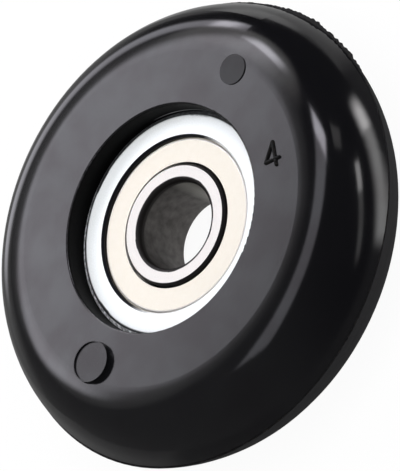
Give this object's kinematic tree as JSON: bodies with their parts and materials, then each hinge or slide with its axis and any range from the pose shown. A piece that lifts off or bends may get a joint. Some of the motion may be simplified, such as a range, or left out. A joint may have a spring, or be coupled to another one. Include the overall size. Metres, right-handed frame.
{
  "type": "bearing pulley wheel",
  "caption": "Plastic roller wheel with a round crowned rim, moulded round a shielded deep groove ball bearing with a plain bore for an axle.",
  "frame": {"origin": "on the bore's axis, in the middle plane of the bearing and the wheel", "axes": "+Z along the bore, out of the face with the moulding marks; +X across that face, close to the low pin mark, with the raised pad on the opposite side"},
  "size_m": [0.0642, 0.0642, 0.0168],
  "materials": {
    "moulded_plastic": "as moulded: satin on the flat face, glossy on the front round, dull and faintly ribbed behind",
    "ring_steel": "ground and polished bearing steel",
    "ball_steel": "mirror-polished bearing steel",
    "cage_sheet": "pressed sheet steel, dull",
    "shield_sheet": "pressed sheet with a matt cream surface"
  },
  "bodies": {
    "hub": {"inner_ring": "ring_steel"},
    "wheel": {"wheel_body": "moulded_plastic", "outer_ring": "ring_steel", "shield_front": "shield_sheet", "shield_rear": "shield_sheet"},
    "cage": {"cage_front": "cage_sheet", "cage_rear": "cage_sheet", "cage_rivets": "cage_sheet"},
    "rolling_ball_1": {"ball_1": "ball_steel"},
    "rolling_ball_2": {"ball_2": "ball_steel"},
    "rolling_ball_3": {"ball_3": "ball_steel"},
    "rolling_ball_4": {"ball_4": "ball_steel"},
    "rolling_ball_5": {"ball_5": "ball_steel"},
    "rolling_ball_6": {"ball_6": "ball_steel"},
    "rolling_ball_7": {"ball_7": "ball_steel"}
  },
  "joints": [
    {"name": "wheel_spin", "type": "hinge", "parent": "hub", "child": "wheel", "pos_m": [0, 0, 0], "axis": [0, 0, 1], "continuous": true},
    {"name": "cage_spin", "type": "hinge", "parent": "hub", "child": "cage", "pos_m": [0, 0, 0], "axis": [0, 0, 1], "continuous": true},
    {"name": "ball_1_spin", "type": "hinge", "parent": "cage", "child": "rolling_ball_1", "pos_m": [0.0101, 0, 0], "axis": [0, 0, 1], "continuous": true},
    {"name": "ball_2_spin", "type": "hinge", "parent": "cage", "child": "rolling_ball_2", "pos_m": [0.0063, 0.0079, 0], "axis": [0, 0, 1], "continuous": true},
    {"name": "ball_3_spin", "type": "hinge", "parent": "cage", "child": "rolling_ball_3", "pos_m": [-0.00225, 0.00985, 0], "axis": [0, 0, 1], "continuous": true},
    {"name": "ball_4_spin", "type": "hinge", "parent": "cage", "child": "rolling_ball_4", "pos_m": [-0.0091, 0.00438, 0], "axis": [0, 0, 1], "continuous": true},
    {"name": "ball_5_spin", "type": "hinge", "parent": "cage", "child": "rolling_ball_5", "pos_m": [-0.0091, -0.00438, 0], "axis": [0, 0, 1], "continuous": true},
    {"name": "ball_6_spin", "type": "hinge", "parent": "cage", "child": "rolling_ball_6", "pos_m": [-0.00225, -0.00985, 0], "axis": [0, 0, 1], "continuous": true},
    {"name": "ball_7_spin", "type": "hinge", "parent": "cage", "child": "rolling_ball_7", "pos_m": [0.0063, -0.0079, 0], "axis": [0, 0, 1], "continuous": true}
  ],
  "couplings": [
    {"joint": "cage_spin", "follows": "wheel_spin", "ratio": 0.63614},
    {"joint": "ball_1_spin", "follows": "wheel_spin", "ratio": 1.7002},
    {"joint": "ball_2_spin", "follows": "wheel_spin", "ratio": 1.7002},
    {"joint": "ball_3_spin", "follows": "wheel_spin", "ratio": 1.7002},
    {"joint": "ball_4_spin", "follows": "wheel_spin", "ratio": 1.7002},
    {"joint": "ball_5_spin", "follows": "wheel_spin", "ratio": 1.7002},
    {"joint": "ball_6_spin", "follows": "wheel_spin", "ratio": 1.7002},
    {"joint": "ball_7_spin", "follows": "wheel_spin", "ratio": 1.7002}
  ]
}
